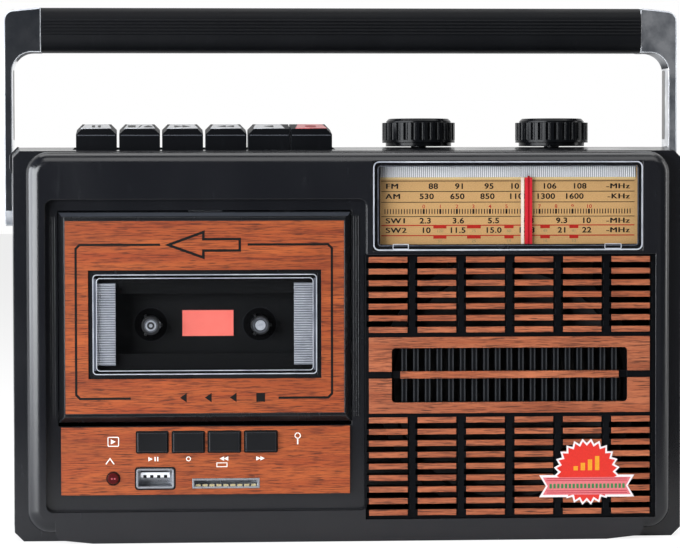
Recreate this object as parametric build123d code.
"""Portable radio cassette player, in millimetres.

+X is to the right and -Y towards someone who looks at the front. +Z is up.
The origin is on the surface that the player stands on, under the middle of its box.
"""
from build123d import *
from math import cos, hypot, pi, sin
import os

os.makedirs("parts", exist_ok=True)

# Running clearances
SHAFT_CLEARANCE = 0.05
EDGE_CLEARANCE = 0.4
SEAT_CLEARANCE = 0.1

# Cabinet
DEPTH = 88.0
FRONT_Y = -DEPTH / 2
REAR_Y = DEPTH / 2
CABINET_HALF_WIDTH = 131.6
CABINET_RIGHT = CABINET_HALF_WIDTH
CABINET_LEFT = -CABINET_HALF_WIDTH
CABINET_TOP = 152.7
PARTING_DEPTH = 36.0
PARTING_Y = FRONT_Y + PARTING_DEPTH
WALL = 2.6
TOP_CORNER_CUT = 2.7
BOTTOM_CORNER_CUT = 3.5
REAR_EDGE_CUT = 3.0
CABINET_SET_BACK = 9.0
CABINET_DRAFT = 1.6

# Raised front frame and the plinth under it
FRAME_HALF_WIDTH = CABINET_HALF_WIDTH - 6.9
FRAME_TOP = 150.7
FRAME_BOTTOM = 4.0
FRAME_CORNER = 8.4
FRAME_ROUNDING = 5.0
FASCIA = 6.0
FASCIA_BACK = FRONT_Y + FASCIA
PLINTH_HALF_WIDTH = FRAME_HALF_WIDTH - 10.7
PLINTH_FOOT_HALF_WIDTH = PLINTH_HALF_WIDTH - 14.5
PLINTH_STEP = 1.4

# Recess on the left, with the cassette door and the media panel in it.
# What stands in it is measured from the middle of the deck.
DECK_FROM_SIDE = 75.7
DECK_X = CABINET_LEFT + DECK_FROM_SIDE
RECESS_HALF_WIDTH = 61.9
RECESS_OFFSET = 0.3
RECESS = (
    DECK_X + RECESS_OFFSET - RECESS_HALF_WIDTH,
    DECK_X + RECESS_OFFSET + RECESS_HALF_WIDTH,
    12.0,
    132.5,
)
RECESS_DEPTH = 4.0
RECESS_CORNER = 3.0
RECESS_Y = FRONT_Y + RECESS_DEPTH

# Cassette door
DOOR_LEFT_REACH = 56.5
DOOR_RIGHT_REACH = 56.0
DOOR = (DECK_X - DOOR_LEFT_REACH, DECK_X + DOOR_RIGHT_REACH, 46.6, 127.7)
DOOR_SET_BACK = 1.0
DOOR_THICKNESS = 4.6
DOOR_BEVEL = 2.2
DOOR_FACING = (DECK_X - 54.1, DECK_X + 53.4, 49.9, 124.2)
DOOR_FACING_THICKNESS = 0.8
DOOR_SILL_GAP = 1.7
DOOR_HINGE_RISE = 2.8
DOOR_HINGE_DEPTH = 7.0
DOOR_PIN_RADIUS = 1.5
DOOR_PIN_LENGTH = 2.6
DOOR_LUG_RADIUS = 2.6
DOOR_LUG_LENGTH = 3.0
HINGE_BRACKET = 3.0
HINGE_BRACKET_WALL = 1.5
WINDOW_SURROUND = (DECK_X - 45.2, DECK_X + 44.55, 63.3, 105.2)
WINDOW = (DECK_X - 43.7, DECK_X + 43.0, 64.8, 103.8)
WINDOW_THICKNESS = 1.8
WINDOW_RIB_STRIP = 7.25
WINDOW_RIB_INSET = 1.6
WINDOW_RIB_HEIGHT = 0.4
WINDOW_RIB_COUNT = 36
WINDOW_RIB_MARGIN = 3.0

# Cassette and the deck behind the door
CASSETTE_WIDTH = 100.4
CASSETTE_HEIGHT = 63.8
GUIDE_SHARE = 0.8
CASSETTE_THICKNESS = 12.0
CASSETTE_GAP = 0.8
SPINDLE_SPACING = 42.5
SPINDLE_MIDDLE_X = DECK_X
SPINDLE_Z = 83.4
SPINDLE_TO_TAPE_EDGE = 34.6
GUIDE_WALL = 1.5
DECK_PLATE = (DECK_X - 62.9, DECK_X + 62.9, 52.0, 131.0)
DECK_PLATE_DEPTH = 18.0
DECK_PLATE_THICKNESS = 1.5
DECK_PLATE_Y = FRONT_Y + DECK_PLATE_DEPTH
DECK_PLATE_BACK = DECK_PLATE_Y + DECK_PLATE_THICKNESS
DECK_BOSS_RADIUS = 1.8
DECK_BOSS_INSET = 6.0
DECK_ARM_DROP = 18.0
SPINDLE_SHAFT_RADIUS = 1.5
SPINDLE_HUB_RADIUS = 3.6
SPINDLE_HUB_LENGTH = 8.5
SPINDLE_SPLINES = 3
SPINDLE_SPLINE = 0.9
REEL_DISC_RADIUS = 12.0
REEL_DISC_THICKNESS = 2.0
WELL_LABEL = (DECK_X - 8.95, DECK_X + 11.0, 78.9, 89.0)
WELL_LABEL_THICKNESS = 0.6
HEAD_WIDTH = 13.0
HEAD_HEIGHT = 10.0
HEAD_DEPTH = 9.0
HEAD_RETRACTION = 0.6
HEAD_TRAVEL = 4.0
HEAD_PLATE = (DECK_X - 22.1, DECK_X + 43.9, 8.0)
HEAD_PLATE_THICKNESS = 1.2
HEAD_PLATE_RUNNING = 0.3
CAPSTAN_OFFSET = 30.0
CAPSTAN_RADIUS = 1.25
CAPSTAN_Z = 112.4
PINCH_RADIUS = 6.0
PINCH_THICKNESS = 7.0
PINCH_GAP = 0.35
FLYWHEEL_RADIUS = 18.0
FLYWHEEL_THICKNESS = 5.0
BELT_PLANE_DEPTH = 26.0
BELT_WIDTH = 1.6
BELT_THICKNESS = 1.0
MOTOR_AXIS = (DECK_X - 32.1, 70.0)
MOTOR_RADIUS = 14.0
MOTOR_LENGTH = 17.0
MOTOR_SHAFT_RADIUS = 1.0
MOTOR_POST_RADIUS = 2.0
MOTOR_POST_SHARE = 0.8
PULLEY_RADIUS = 4.5
PULLEY_THICKNESS = 5.0

# Piano keys along the top
KEY_EDGES = (
    (DECK_X - 50.1, DECK_X - 34.4),
    (DECK_X - 33.3, DECK_X - 17.4),
    (DECK_X - 16.6, DECK_X - 0.6),
    (DECK_X + 0.4, DECK_X + 16.4),
    (DECK_X + 17.1, DECK_X + 33.3),
    (DECK_X + 33.7, DECK_X + 49.9),
)
KEY_NAMES = ("pause_key", "stop_key", "forward_key", "rewind_key", "play_key", "record_key")
KEY_DEPTH = 20.0
KEY_LENGTH = 14.0
KEY_FRONT_TOP = 159.8
KEY_BACK_TOP = 161.8
KEY_SKIRT = 145.5
KEY_CORNER_CUT = 2.2
KEY_WELL_GAP = 2.5
KEY_ROD_Y = 4.0
KEY_ROD_Z = 142.5
KEY_ROD_RADIUS = 1.5
KEY_HUB_RADIUS = 3.4
KEY_LEVER_OVERLAP = 0.1
KEY_LEVER_INSET = 2.0
KEY_LEVER_THICKNESS = 4.0

# Media panel, its buttons, lamp and sockets
MEDIA_FACING = (DECK_X - 55.8, DECK_X + 55.55, 18.5, 44.6)
MEDIA_FACING_THICKNESS = 2.0
MEDIA_FACE_Y = RECESS_Y - MEDIA_FACING_THICKNESS
MEDIA_BUTTON_EDGES = (
    (DECK_X - 26.55, DECK_X - 15.1),
    (DECK_X - 12.8, DECK_X - 1.1),
    (DECK_X + 1.05, DECK_X + 12.85),
    (DECK_X + 15.1, DECK_X + 27.0),
)
MEDIA_BUTTON_BOTTOM = 35.1
MEDIA_BUTTON_TOP = 42.6
MEDIA_BUTTON_PROUD = 1.6
MEDIA_BUTTON_GAP = 0.25
MEDIA_BUTTON_FLANGE = 0.8
MEDIA_BUTTON_FLANGE_THICKNESS = 1.0
MEDIA_BUTTON_TRAVEL = 0.8
SWITCH_SIZE = 6.0
SWITCH_HEIGHT = 1.4
SWITCH_GAP = 0.1
STATUS_LED_X = DECK_X - 35.85
STATUS_LED_Z = 24.9
STATUS_LED_RADIUS = 2.3
STATUS_LED_CUT = 3.0
STATUS_LED_STAND = 1.4
USB_MOUTH = (DECK_X - 26.95, DECK_X - 12.5, 21.0, 28.6)
USB_WALL = 0.7
USB_TONGUE_DROP = 0.9
USB_DEPTH = 9.6
USB_TONGUE_THICKNESS = 1.9
USB_TONGUE_WIDTH = 11.1
USB_TONGUE_SET_BACK = 1.2
SD_SOCKET = (DECK_X - 5.4, DECK_X + 20.5, 20.8, 24.6)
SD_WALL = 0.7
MEDIA_BOARD = (DECK_X - 52.1, DECK_X + 41.9, 16.0, 44.0)
MEDIA_BOARD_DEPTH = 12.0
MEDIA_BOARD_Y = FRONT_Y + MEDIA_BOARD_DEPTH
MEDIA_BOARD_THICKNESS = 1.6
BOARD_BOSS_RADIUS = 2.4
MEDIA_BOSS_INSET = (4.0, 3.0)

# Right side: the grille fills it, and the dial is measured from the grille's edges
GRILLE = (RECESS[1] - 0.7, FRAME_HALF_WIDTH - 6.1, 8.4, 110.9)
GRILLE_WIDTH = GRILLE[1] - GRILLE[0]

# Dial window, scale, pointer and its rail
LENS = (GRILLE[0] + 3.05, GRILLE[1] - 5.1, 112.4, 146.9)
LENS_THICKNESS = 2.0
LENS_GAP = 0.15
DIAL_FACE = (LENS[0] + 2.85, LENS[1] - 1.7, 114.8, 145.2)
DIAL_POCKET_MARGIN = 1.2
DIAL_SCALE_THICKNESS = 1.2
POINTER_X = DIAL_FACE[0] + 57.25
POINTER_WIDTH = 4.6
POINTER_THICKNESS = 1.0
POINTER_RUNNING = 0.5
POINTER_ARM_THICKNESS = 1.2
POINTER_TRAVEL_MARGIN = 3.0
RAIL_RADIUS = 1.0
RAIL_Y = FASCIA_BACK + 4.5
RAIL_Z = 145.2
RAIL_CARRIAGE_HALF = 5.0
RAIL_CARRIAGE = 4.4
RAIL_SUPPORT = 2.4
RAIL_OVERHANG = 5.2

# Speaker grille and the strips of facing on it
GRILLE_SET_BACK = 1.4
GRILLE_FLANGE = 0.9
GRILLE_FLANGE_THICKNESS = 1.6
TILE_COLUMNS = 6
TILE_MARGIN = 1.4
TILE_GAP = 3.95
TILE_FIRST_X = GRILLE[0] + TILE_MARGIN
TILE_PITCH_X = (GRILLE_WIDTH + 0.4) / TILE_COLUMNS
TILE_WIDTH = TILE_PITCH_X - TILE_GAP
TILE_HEIGHT = 2.2
TILE_THICKNESS = 0.8
UPPER_ROWS = 7
UPPER_TOP = 110.0
UPPER_PITCH = 4.52
LOWER_ROWS = 9
LOWER_TOP = 47.85
LOWER_PITCH = 4.48
SLOT_MARGIN = 0.8
GRILLE_FRAME_BOTTOM = 49.4
GRILLE_FRAME_TOP = 78.9
GRILLE_MOUTH = (GRILLE[0] + 10.25, GRILLE[1] - 10.9, 53.6, 74.7)
GRILLE_MOUTH_CORNER = 1.5
GRILLE_BAR_BOTTOM = 62.9
GRILLE_BAR_TOP = 65.6
GRILLE_BAR_INSET = 3.4
GRILLE_RIB_COUNT = 19
GRILLE_RIB_WIDTH = 2.1
GRILLE_RIB_PITCH = (GRILLE_WIDTH - 31.1) / (GRILLE_RIB_COUNT - 1)
GRILLE_RIB_SET_BACK = 1.2
STICKER_X = GRILLE[1] - 26.8
STICKER_Z = 26.2
STICKER_RADIUS = 13.0
STICKER_ROOT_RADIUS = 11.2
STICKER_POINTS = 20
STICKER_RIBBON = (38.0, 8.7)
STICKER_RIBBON_DROP = 5.6
STICKER_THICKNESS = 0.4

# Loudspeaker
SPEAKER_X = (GRILLE[0] + GRILLE[1]) / 2 - 0.4
SPEAKER_RADIUS = GRILLE_WIDTH / 2 - 5.5
SPEAKER_Z = FRAME_BOTTOM + WALL + SPEAKER_RADIUS + 2.4
SPEAKER_FLANGE = 1.5
SPEAKER_THROAT_RADIUS = 24.0
SPEAKER_BASKET_DEPTH = 24.0
CONE_DEPTH_SHARE = 0.6
SPEAKER_BASKET_WALL = 1.2
SPEAKER_EDGE = 4.0
SPEAKER_WINDOWS = 6
SPEAKER_WINDOW_RADIUS = 7.0
CONE_NECK_RADIUS = 12.0
CONE_WALL = 0.8
MAGNET_RADIUS = 29.0
MAGNET_CHAMFER = 1.5
MAGNET_THICKNESS = 13.0
VOICE_COIL_GAP = 2.0

# Knobs on the top
KNOB_RADIUS = 14.5
KNOB_Y = -3.5
KNOB_TOP = 164.0
KNOB_UNDERCUT = 1.4
KNOB_FLUTES = 28
KNOB_FLUTE_RADIUS = 0.9
KNOB_LEDGE = 1.6
KNOB_CHAMFER = 1.0
KNOB_WALL = 3.0
VOLUME_X = LENS[0] + 21.15
TUNING_X = LENS[1] - 30.2
CONTROL_SHAFT_RADIUS = 3.0
CONTROL_SHAFT_HOLE = 3.6
CONTROL_BODY = (17.0, 15.0, 9.0)
CAPACITOR_BODY = (20.0, 20.0, 14.0)

# Folding handle
ARM_RUNNING = 0.45
ARM_THICKNESS = 3.25
ARM_INNER = CABINET_HALF_WIDTH + ARM_RUNNING
ARM_OUTER = ARM_INNER + ARM_THICKNESS
ARM_FRONT_Y = 4.0
ARM_DEPTH = 16.0
HANDLE_PIVOT_Z = 129.4
HANDLE_PIVOT_Y = ARM_FRONT_Y + ARM_DEPTH / 2
GRIP_HALF_WIDTH = ARM_OUTER - 14.7
GRIP_BOTTOM = 190.9
GRIP_TOP = 208.7
HANDLE_SHOULDER = 207.2
HANDLE_CORNER = 4.5
HANDLE_INNER_CORNER = 7.8
GRIP_OVERHANG = 1.0
GRIP_ROUNDING = 5.0
GRIP_RIDGE_RADIUS = 0.55
GRIP_RIDGE_TOP = 203.4
GRIP_RIDGE_PITCH = 1.3
GRIP_RIDGES = 5
GRIP_SPIGOT = (8.0, 9.0, 10.0)
PIVOT_RADIUS = 2.5
PIVOT_HEAD_RADIUS = 4.5
PIVOT_HEAD_THICKNESS = 1.2
PIVOT_BOSS_RADIUS = 5.5
PIVOT_LENGTH = 11.0
EAR_OUT = CABINET_HALF_WIDTH + 1.3
EAR_BOTTOM = 141.8
EAR_TOP = 153.0
EAR_LENGTH = 8.0
EAR_CUT = 3.2

# Aerial in the step along the top of the back
AERIAL_STEP_DEPTH = 9.6
AERIAL_STEP_HEIGHT = 12.0
AERIAL_STEP_RIGHT = CABINET_RIGHT - 9.6
AERIAL_PIVOT_X = AERIAL_STEP_RIGHT - 10.0
AERIAL_AXIS_DEPTH = 4.6
AERIAL_AXIS_RISE = 5.8
AERIAL_BASE_RADIUS = 5.0
AERIAL_BASE_CHAMFER = 0.8
AERIAL_NECK = 9.0
AERIAL_TUBE_RADII = (3.2, 2.4, 1.6)
AERIAL_TUBE_WALL = 0.7
AERIAL_LENGTH = 2 * CABINET_HALF_WIDTH - 73.2
AERIAL_OVERHANG = 8.0
AERIAL_TIP_RADIUS = 3.0
AERIAL_TIP_LENGTH = 6.0
AERIAL_KEPT_INSIDE = 18.0

# Battery bay, its cover and contacts
BAY_FROM_RIGHT = 67.6
BAY_LENGTH = 128.0
BAY_RIGHT = CABINET_RIGHT - BAY_FROM_RIGHT
BAY = (BAY_RIGHT - BAY_LENGTH, BAY_RIGHT, 14.0, 86.0)
BAY_FRONT_Y = 7.0
BAY_WALL = 2.0
BATTERY_COVER_THICKNESS = 2.4
BATTERY_COVER_LIP = 2.0
BATTERY_PIN_RADIUS = 0.8
BATTERY_NOTCH_HALF = 10.0
CONTACT_WIDTH = 14.0
CONTACT_THICKNESS = 0.6
CONTACT_NUB = 2.0

# Boards, transformer, ferrite rod and mains inlet
MAIN_BOARD = (CABINET_LEFT + 31.6, CABINET_RIGHT - 27.6, 92.0, 132.0)
MAIN_BOARD_Y = 22.0
MAIN_BOARD_THICKNESS = 1.6
MAIN_BOSS_INSET = (8.0, 4.0)
COIL_CAN = (8.0, 10.0)
COIL_CANS = 5
COIL_CAN_PITCH = 18.0
COIL_CAN_INSET = 20.0
BAND_SWITCH = (40.0, 8.0)
BAND_SWITCH_INSET = 20.0
FERRITE_RADIUS = 5.0
FERRITE_COIL_HALF = 12.0
FERRITE_COIL_WALL = 1.0
FERRITE_CLIP = 1.5
FERRITE_LENGTH = 110.0
FERRITE_X = CABINET_LEFT + 81.6
FERRITE_Y = 15.0
FERRITE_Z = 140.0
TRANSFORMER = (CABINET_RIGHT - 59.6, CABINET_RIGHT - 17.6, 4.0, 40.0)
TRANSFORMER_Y = (12.0, 34.0)
TRANSFORMER_BOBBIN = (27.0, 26.0)
INLET_X = CABINET_RIGHT - 37.6
INLET_Z = 62.0
INLET_SIZE = (22.0, 14.0)
INLET_MOUTH = (16.0, 9.0)
INLET_DEPTH = 14.0
INLET_PIN_RADIUS = 1.2
INLET_PIN_SPACING = 8.6

# Cabinet screws
SCREW_X = CABINET_HALF_WIDTH - 7.6
SCREW_HEIGHTS = (14.0, 66.0, 112.0)
SCREW_RADIUS = 1.5
SCREW_HEAD_RADIUS = 3.2
SCREW_HEAD_THICKNESS = 2.2
SCREW_BITE = 12.0
SCREW_SEAT_THICKNESS = 8.0
SCREW_BOSS_RADIUS = 4.4


def block(x, y, z):
    """Box between the low and high value given for each axis."""
    size = Box(x[1] - x[0], y[1] - y[0], z[1] - z[0])
    return Pos((x[0] + x[1]) / 2, (y[0] + y[1]) / 2, (z[0] + z[1]) / 2) * size


def panel(edges, y, margin=0.0, corner=0.0):
    """Upright plate with the edges left, right, bottom and top, grown by margin."""
    left, right, bottom, top = edges
    plate = block(
        (left - margin, right + margin),
        y,
        (bottom - margin, top + margin),
    )
    if corner:
        plate = fillet(plate.edges().filter_by(Axis.Y), corner)
    return plate


def rod_x(x, y, z, radius):
    """Cylinder along X between two X values."""
    length = x[1] - x[0]
    return Pos((x[0] + x[1]) / 2, y, z) * Rot(0, 90, 0) * Cylinder(radius, length)


def rod_y(x, y, z, radius):
    """Cylinder along Y between two Y values."""
    length = y[1] - y[0]
    return Pos(x, (y[0] + y[1]) / 2, z) * Rot(90, 0, 0) * Cylinder(radius, length)


def rod_z(x, y, z, radius):
    """Cylinder along Z between two Z values."""
    return Pos(x, y, (z[0] + z[1]) / 2) * Cylinder(radius, z[1] - z[0])


def upright_plane(y):
    """Plane that faces the front at depth y, with X across it and Z up it."""
    return Plane((0, y, 0), x_dir=(1, 0, 0), z_dir=(0, -1, 0))


def front_edges(solid, y):
    """Edges of a solid that lie in the upright plane at depth y."""
    return [
        edge
        for edge in solid.edges()
        if abs(edge.bounding_box().min.Y - y) < 0.01
        and abs(edge.bounding_box().max.Y - y) < 0.01
    ]


def joined(solids):
    """One shape from solids that touch or overlap."""
    first, *rest = solids
    return first.fuse(*rest) if rest else first


def turned(profile_points, x, z):
    """Solid of revolution about an axis along Y at x, z.

    The points are pairs of radius and depth.
    """
    plane = Plane((x, 0, z), x_dir=(1, 0, 0), z_dir=(0, 0, 1))
    face = make_face(plane * Polyline(*profile_points, close=True))
    return revolve(face, Axis((x, 0, z), (0, 1, 0)), 360)


def octagon(half_width, bottom, top, bottom_cut, top_cut):
    """Points of a rectangle with its four corners cut, from bottom left round."""
    return [
        (-half_width + bottom_cut, bottom),
        (half_width - bottom_cut, bottom),
        (half_width, bottom + bottom_cut),
        (half_width, top - top_cut),
        (half_width - top_cut, top),
        (-half_width + top_cut, top),
        (-half_width, top - top_cut),
        (-half_width, bottom + bottom_cut),
    ]


def cabinet_section(y, inset=0.0, draft=0.0):
    """Cross-section of the cabinet at depth y."""
    outline = octagon(
        CABINET_HALF_WIDTH - inset - draft,
        inset,
        CABINET_TOP - inset - draft,
        BOTTOM_CORNER_CUT,
        TOP_CORNER_CUT,
    )
    return upright_plane(y) * make_face(Polyline(*outline, close=True))


def cabinet_block(start, end, inset=0.0, draft=0.0):
    """Length of the cabinet between two depths, with its front end drawn in by draft."""
    return loft([cabinet_section(start, inset, draft), cabinet_section(end, inset)], ruled=True)


# Places that several pieces share
cavity_top = FRAME_TOP - WALL
door_axis_y = FRONT_Y + DOOR_HINGE_DEPTH
door_axis_z = DOOR[2] + DOOR_HINGE_RISE
door_front_y = FRONT_Y + DOOR_SET_BACK
door_back_y = door_front_y + DOOR_THICKNESS
side_boss_left = DOOR[0] - EDGE_CLEARANCE - DECK_BOSS_RADIUS - EDGE_CLEARANCE
side_boss_right = DOOR[1] + EDGE_CLEARANCE + DECK_BOSS_RADIUS + EDGE_CLEARANCE
deck_boss_heights = (DECK_PLATE[2] + DECK_BOSS_INSET, DECK_PLATE[3] - DECK_BOSS_INSET)
media_boss_places = [
    (x, z)
    for x in (MEDIA_BOARD[0] + MEDIA_BOSS_INSET[0], MEDIA_BOARD[1] - MEDIA_BOSS_INSET[0])
    for z in (MEDIA_BOARD[2] + MEDIA_BOSS_INSET[1], MEDIA_BOARD[3] - MEDIA_BOSS_INSET[1])
]
scale_top = DIAL_FACE[3] + 1.0
scale_front_y = FASCIA_BACK
rail_ends = (LENS[0] - RAIL_OVERHANG, LENS[1] + RAIL_OVERHANG)
spindle_xs = (SPINDLE_MIDDLE_X - SPINDLE_SPACING / 2, SPINDLE_MIDDLE_X + SPINDLE_SPACING / 2)
capstan_x = SPINDLE_MIDDLE_X + CAPSTAN_OFFSET
belt_y = FRONT_Y + BELT_PLANE_DEPTH
motor_front_y = belt_y + PULLEY_THICKNESS
motor_post_reach = MOTOR_RADIUS * MOTOR_POST_SHARE
motor_post_places = [
    (MOTOR_AXIS[0] + motor_post_reach * cos(angle), MOTOR_AXIS[1] + motor_post_reach * sin(angle))
    for angle in (pi * 5 / 6, pi * 7 / 6, pi * 5 / 3)
]
key_well = (KEY_EDGES[0][0] - 3 * EDGE_CLEARANCE, KEY_EDGES[-1][1] + 3 * EDGE_CLEARANCE)
knob_places = {"volume": VOLUME_X, "tuning": TUNING_X}
aerial_y = REAR_Y - AERIAL_AXIS_DEPTH
aerial_z = CABINET_TOP - AERIAL_AXIS_RISE
battery_axis_y = REAR_Y - BATTERY_COVER_THICKNESS / 2
battery_axis_z = BAY[2] - BAY_WALL + EDGE_CLEARANCE + BATTERY_COVER_THICKNESS / 2
main_boss_places = [
    (x, z)
    for x in (MAIN_BOARD[0] + MAIN_BOSS_INSET[0], MAIN_BOARD[1] - MAIN_BOSS_INSET[0])
    for z in (MAIN_BOARD[2] + MAIN_BOSS_INSET[1], MAIN_BOARD[3] - MAIN_BOSS_INSET[1])
]


def front_cabinet():
    """Front shell with the raised frame, the plinth and the openings of the fascia."""
    edges = (-FRAME_HALF_WIDTH, FRAME_HALF_WIDTH, FRAME_BOTTOM, FRAME_TOP)
    body_front = FRONT_Y + CABINET_SET_BACK
    frame = panel(edges, (FRONT_Y, body_front + WALL), corner=FRAME_CORNER)
    frame = fillet(front_edges(frame, FRONT_Y), FRAME_ROUNDING)
    foot = [
        (-PLINTH_HALF_WIDTH, FRAME_BOTTOM + FRAME_ROUNDING + 1),
        (-PLINTH_HALF_WIDTH, FRAME_BOTTOM),
        (-PLINTH_HALF_WIDTH + PLINTH_STEP, PLINTH_STEP),
        (-PLINTH_FOOT_HALF_WIDTH, 0),
        (PLINTH_FOOT_HALF_WIDTH, 0),
        (PLINTH_HALF_WIDTH - PLINTH_STEP, PLINTH_STEP),
        (PLINTH_HALF_WIDTH, FRAME_BOTTOM),
        (PLINTH_HALF_WIDTH, FRAME_BOTTOM + FRAME_ROUNDING + 1),
    ]
    outline = upright_plane(body_front + WALL) * make_face(Polyline(*foot, close=True))
    plinth = extrude(outline, CABINET_SET_BACK + WALL)
    body = cabinet_block(body_front, PARTING_Y, draft=CABINET_DRAFT)
    shell = joined([body, frame, plinth])

    inner = (edges[0] + WALL, edges[1] - WALL, FRAME_BOTTOM + WALL, cavity_top)
    shell -= panel(inner, (FASCIA_BACK, PARTING_Y))
    shell -= cabinet_block(body_front + WALL, PARTING_Y, WALL, CABINET_DRAFT)

    # Left side: the recess, the door opening and the brackets for the door's pins
    shell -= panel(RECESS, (FRONT_Y, RECESS_Y), corner=RECESS_CORNER)
    opening = (
        DOOR[0] - EDGE_CLEARANCE,
        DOOR[1] + EDGE_CLEARANCE,
        DOOR[2] - DOOR_SILL_GAP,
        DOOR[3] + EDGE_CLEARANCE,
    )
    shell -= panel(opening, (RECESS_Y, FASCIA_BACK))
    brackets = []
    for inner_x, way in ((opening[0], -1), (opening[1], 1)):
        span = sorted((inner_x, inner_x + way * HINGE_BRACKET))
        reach = DOOR_PIN_RADIUS + HINGE_BRACKET_WALL
        brackets.append(
            block(span, (FASCIA_BACK, door_axis_y + reach), (door_axis_z - reach, door_axis_z + reach))
        )
    for x in (side_boss_left, side_boss_right):
        for z in deck_boss_heights:
            brackets.append(rod_y(x, (FASCIA_BACK, DECK_PLATE_Y), z, DECK_BOSS_RADIUS))
    for x, z in media_boss_places:
        brackets.append(rod_y(x, (FASCIA_BACK, MEDIA_BOARD_Y), z, BOARD_BOSS_RADIUS))
    for side in (-1, 1):
        for z in SCREW_HEIGHTS:
            brackets.append(rod_y(side * SCREW_X, (body_front, PARTING_Y), z, SCREW_BOSS_RADIUS))
    for x in (rail_ends[0], rail_ends[1] - RAIL_SUPPORT):
        support_y = (FASCIA_BACK, RAIL_Y + RAIL_CARRIAGE / 2)
        brackets.append(block((x, x + RAIL_SUPPORT), support_y, (RAIL_Z - 2, cavity_top)))
    shell = joined([shell] + brackets)
    pin_reach = (opening[0] - HINGE_BRACKET, opening[1] + HINGE_BRACKET)
    shell -= rod_x(pin_reach, door_axis_y, door_axis_z, DOOR_PIN_RADIUS + SHAFT_CLEARANCE)
    shell -= rod_x(rail_ends, RAIL_Y, RAIL_Z, RAIL_RADIUS + SHAFT_CLEARANCE)
    for side in (-1, 1):
        for z in SCREW_HEIGHTS:
            pilot = (PARTING_Y - SCREW_BITE - 1, PARTING_Y)
            shell -= rod_y(side * SCREW_X, pilot, z, SCREW_RADIUS + SHAFT_CLEARANCE)

    # Media panel: holes for the buttons, the lamp and the sockets
    through = (RECESS_Y, FASCIA_BACK)
    for left, right in MEDIA_BUTTON_EDGES:
        button = (left, right, MEDIA_BUTTON_BOTTOM, MEDIA_BUTTON_TOP)
        shell -= panel(button, through, MEDIA_BUTTON_GAP)
    shell -= rod_y(STATUS_LED_X, through, STATUS_LED_Z, STATUS_LED_RADIUS + SEAT_CLEARANCE)
    shell -= panel(USB_MOUTH, through, SEAT_CLEARANCE)
    shell -= panel(SD_SOCKET, through, SEAT_CLEARANCE)

    # Right side: the dial window and the grille
    lens_back = FRONT_Y + LENS_THICKNESS
    shell -= panel(LENS, (FRONT_Y, lens_back), LENS_GAP)
    shell -= panel(DIAL_FACE, (lens_back, FASCIA_BACK))
    pocket = (
        DIAL_FACE[0] - DIAL_POCKET_MARGIN,
        DIAL_FACE[1] + DIAL_POCKET_MARGIN,
        DIAL_FACE[2] - DIAL_POCKET_MARGIN,
        cavity_top,
    )
    shell -= panel(pocket, (lens_back + 1, FASCIA_BACK))
    shell -= panel(GRILLE, (FRONT_Y, FASCIA_BACK))

    # Top: the well that the keys stand in
    well_y = (FRONT_Y + KEY_DEPTH - KEY_WELL_GAP, PARTING_Y)
    return shell - block(key_well, well_y, (cavity_top - 1, CABINET_TOP + 1))


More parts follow.
